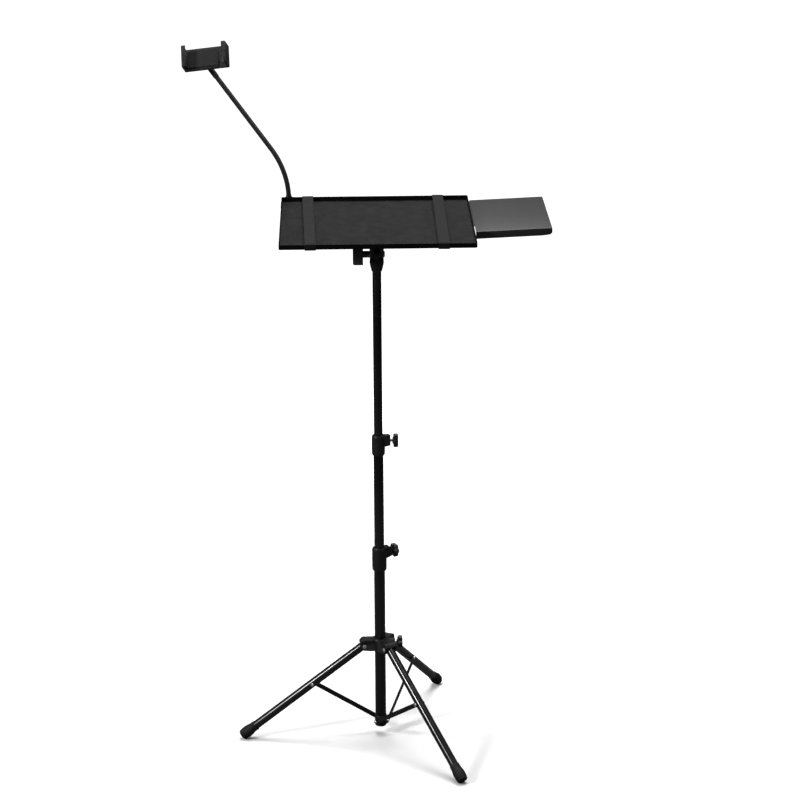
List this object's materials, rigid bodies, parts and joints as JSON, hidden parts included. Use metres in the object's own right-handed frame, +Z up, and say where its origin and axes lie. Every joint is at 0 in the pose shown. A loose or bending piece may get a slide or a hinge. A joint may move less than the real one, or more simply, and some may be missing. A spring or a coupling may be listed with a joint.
{
  "type": "music stand",
  "caption": "Folding tripod stand with telescopic pole, tilting lipped tray with elastic straps, pull-out side shelf and a gooseneck phone holder.",
  "frame": {"origin": "middle of the model's box, on the floor", "axes": "+Z up the pole, +X to the right across the tray, +Y away from the person who stands in front of it"},
  "size_m": [0.7634, 0.5488, 1.5206],
  "materials": {
    "powder_coat": "satin black powder coat",
    "moulded_black": "moulded black nylon, fine grain",
    "knob_black": "moulded black, semi gloss",
    "black_rubber": "matt moulded rubber",
    "elastic_webbing": "woven black elastic",
    "bright_rivet": "bright",
    "zinc_steel": "zinc plated",
    "tray_texture": "fine textured black powder coat"
  },
  "bodies": {
    "pole_bottom": {"outer_tube": "powder_coat", "pole_base": "moulded_black", "lower_collar": "moulded_black", "lower_collar_nut": "zinc_steel"},
    "hub": {"leg_hub": "moulded_black", "hub_rivets": "bright_rivet", "hub_nut": "zinc_steel"},
    "hub_lock": {"hub_knob": "knob_black", "hub_screw": "zinc_steel"},
    "left_leg_body": {"left_leg": "powder_coat", "left_foot": "black_rubber"},
    "left_brace_body": {"left_brace": "powder_coat", "left_brace_rivets": "bright_rivet"},
    "front_leg_body": {"front_leg": "powder_coat", "front_foot": "black_rubber"},
    "front_brace_body": {"front_brace": "powder_coat", "front_brace_rivets": "bright_rivet"},
    "back_leg_body": {"back_leg": "powder_coat", "back_foot": "black_rubber"},
    "back_brace_body": {"back_brace": "powder_coat", "back_brace_rivets": "bright_rivet"},
    "lower_lock": {"lower_collar_knob": "knob_black", "lower_collar_screw": "zinc_steel"},
    "middle_section": {"middle_tube": "powder_coat", "middle_tube_glide": "moulded_black", "upper_collar": "moulded_black", "upper_collar_nut": "zinc_steel"},
    "upper_lock": {"upper_collar_knob": "knob_black", "upper_collar_screw": "zinc_steel"},
    "top_section": {"top_tube": "powder_coat", "top_tube_glide": "moulded_black"},
    "head": {"head_socket": "moulded_black", "head_screw": "zinc_steel"},
    "tray_body": {"tilt_bracket": "powder_coat", "tilt_bolt": "zinc_steel", "tilt_washer": "zinc_steel", "tray_nuts": "zinc_steel", "tray": "tray_texture", "left_strap": "elastic_webbing", "right_strap": "elastic_webbing", "arm_bracket": "powder_coat", "arm_bracket_screws": "zinc_steel"},
    "tilt_lock": {"tilt_handle": "knob_black", "tilt_handle_nut": "zinc_steel"},
    "shelf_body": {"side_shelf": "powder_coat"},
    "shelf_lock_front": {"shelf_knob_front": "knob_black"},
    "shelf_lock_back": {"shelf_knob_back": "knob_black"},
    "phone_arm": {"neck_ferrule": "powder_coat", "gooseneck": "powder_coat", "neck_end": "powder_coat"},
    "arm_lock": {"arm_lock_knob": "knob_black", "arm_lock_screw": "zinc_steel"},
    "ball_ring": {"holder_ball_ring": "moulded_black"},
    "phone_holder": {"holder_case": "moulded_black", "holder_springs": "zinc_steel", "holder_back_pad": "black_rubber", "holder_fixed_pad": "black_rubber"},
    "holder_jaw": {"holder_sliding_jaw": "moulded_black", "holder_sliding_pad": "black_rubber"}
  },
  "joints": [
    {"name": "tripod_fold", "type": "slide", "parent": "pole_bottom", "child": "hub", "axis": [0, 0, 1], "range_m": [0, 0.13722]},
    {"name": "left_leg_fold", "type": "hinge", "parent": "hub", "child": "left_leg_body", "pos_m": [-0.01546, -0.00808, 0.2137], "axis": [0.0436, -0.999, 0], "range_deg": [0, 53.15]},
    {"name": "left_brace_fold", "type": "hinge", "parent": "left_leg_body", "child": "left_brace_body", "pos_m": [-0.13211, -0.01317, 0.12604], "axis": [-0.0436, 0.999, 0], "range_deg": [0, 100.3]},
    {"name": "front_leg_fold", "type": "hinge", "parent": "hub", "child": "front_leg_body", "pos_m": [0.03831, -0.03607, 0.2137], "axis": [0.8434, 0.5373, 0], "range_deg": [0, 53.15]},
    {"name": "front_brace_fold", "type": "hinge", "parent": "front_leg_body", "child": "front_brace_body", "pos_m": [0.10104, -0.13454, 0.12604], "axis": [-0.8434, -0.5373, 0], "range_deg": [0, 100.3]},
    {"name": "back_leg_fold", "type": "hinge", "parent": "hub", "child": "back_leg_body", "pos_m": [0.03566, 0.0245, 0.2137], "axis": [-0.887, 0.4617, 0], "range_deg": [0, 53.15]},
    {"name": "back_brace_fold", "type": "hinge", "parent": "back_leg_body", "child": "back_brace_body", "pos_m": [0.08958, 0.12806, 0.12604], "axis": [0.887, -0.4617, 0], "range_deg": [0, 100.3]},
    {"name": "hub_knob_turn", "type": "hinge", "parent": "hub", "child": "hub_lock", "pos_m": [0.05946, -0.0048, 0.2182], "axis": [0.999, 0.0436, 0], "continuous": true},
    {"name": "lower_knob_turn", "type": "hinge", "parent": "pole_bottom", "child": "lower_lock", "pos_m": [0.05158, 0.0098, 0.4267], "axis": [0.891, 0.454, 0], "continuous": true},
    {"name": "middle_tube_slide", "type": "slide", "parent": "pole_bottom", "child": "middle_section", "axis": [0, 0, 1], "range_m": [-0.206, 0.09]},
    {"name": "upper_knob_turn", "type": "hinge", "parent": "middle_section", "child": "upper_lock", "pos_m": [0.0555, -0.00655, 0.6807], "axis": [1, 0, 0], "continuous": true},
    {"name": "top_tube_slide", "type": "slide", "parent": "middle_section", "child": "top_section", "axis": [0, 0, 1], "range_m": [-0.344, 0.008]},
    {"name": "head_turn", "type": "hinge", "parent": "top_section", "child": "head", "pos_m": [0.0195, -0.00655, 1.0497], "axis": [0, 0, 1], "continuous": true},
    {"name": "tray_tilt", "type": "hinge", "parent": "head", "child": "tray_body", "pos_m": [0.0195, -0.00655, 1.0857], "axis": [1, 0, 0], "range_deg": [-40, 60]},
    {"name": "tilt_handle_turn", "type": "hinge", "parent": "tray_body", "child": "tilt_lock", "pos_m": [-0.0205, -0.00655, 1.0857], "axis": [-1, 0, 0], "continuous": true},
    {"name": "shelf_slide", "type": "slide", "parent": "tray_body", "child": "shelf_body", "axis": [1, 0, 0], "range_m": [0, 0.024]},
    {"name": "shelf_knob_front_turn", "type": "hinge", "parent": "tray_body", "child": "shelf_lock_front", "pos_m": [0.2055, 0.00441, 1.14449], "axis": [0, 0.1736, -0.9848], "continuous": true},
    {"name": "shelf_knob_back_turn", "type": "hinge", "parent": "tray_body", "child": "shelf_lock_back", "pos_m": [0.2055, 0.1088, 1.1629], "axis": [0, 0.1736, -0.9848], "continuous": true},
    {"name": "arm_swivel", "type": "hinge", "parent": "tray_body", "child": "phone_arm", "pos_m": [-0.165, 0.15352, 1.16266], "axis": [0, -0.1736, 0.9848], "range_deg": [-90, 100]},
    {"name": "arm_knob_turn", "type": "hinge", "parent": "tray_body", "child": "arm_lock", "pos_m": [-0.165, 0.16557, 1.17494], "axis": [0, 0.9848, 0.1736], "continuous": true},
    {"name": "holder_tilt", "type": "hinge", "parent": "phone_arm", "child": "ball_ring", "pos_m": [-0.332, 0.12745, 1.47226], "axis": [0.9817, -0.1502, 0.1173], "range_deg": [-18, 18]},
    {"name": "holder_spin", "type": "hinge", "parent": "ball_ring", "child": "phone_holder", "pos_m": [-0.332, 0.12745, 1.47226], "axis": [0.1869, 0.8792, -0.4384], "range_deg": [-90, 90]},
    {"name": "jaw_slide", "type": "slide", "parent": "phone_holder", "child": "holder_jaw", "axis": [0.9817, -0.1502, 0.1173], "range_m": [0, 0.016], "stiffness_N_per_m": 180, "springref_m": -0.012}
  ],
  "couplings": [
    {"joint": "left_leg_fold", "follows": "tripod_fold", "rad_per_m": 6.7543},
    {"joint": "left_brace_fold", "follows": "tripod_fold", "rad_per_m": 12.751},
    {"joint": "front_leg_fold", "follows": "tripod_fold", "rad_per_m": 6.7543},
    {"joint": "front_brace_fold", "follows": "tripod_fold", "rad_per_m": 12.751},
    {"joint": "back_leg_fold", "follows": "tripod_fold", "rad_per_m": 6.7543},
    {"joint": "back_brace_fold", "follows": "tripod_fold", "rad_per_m": 12.751}
  ]
}
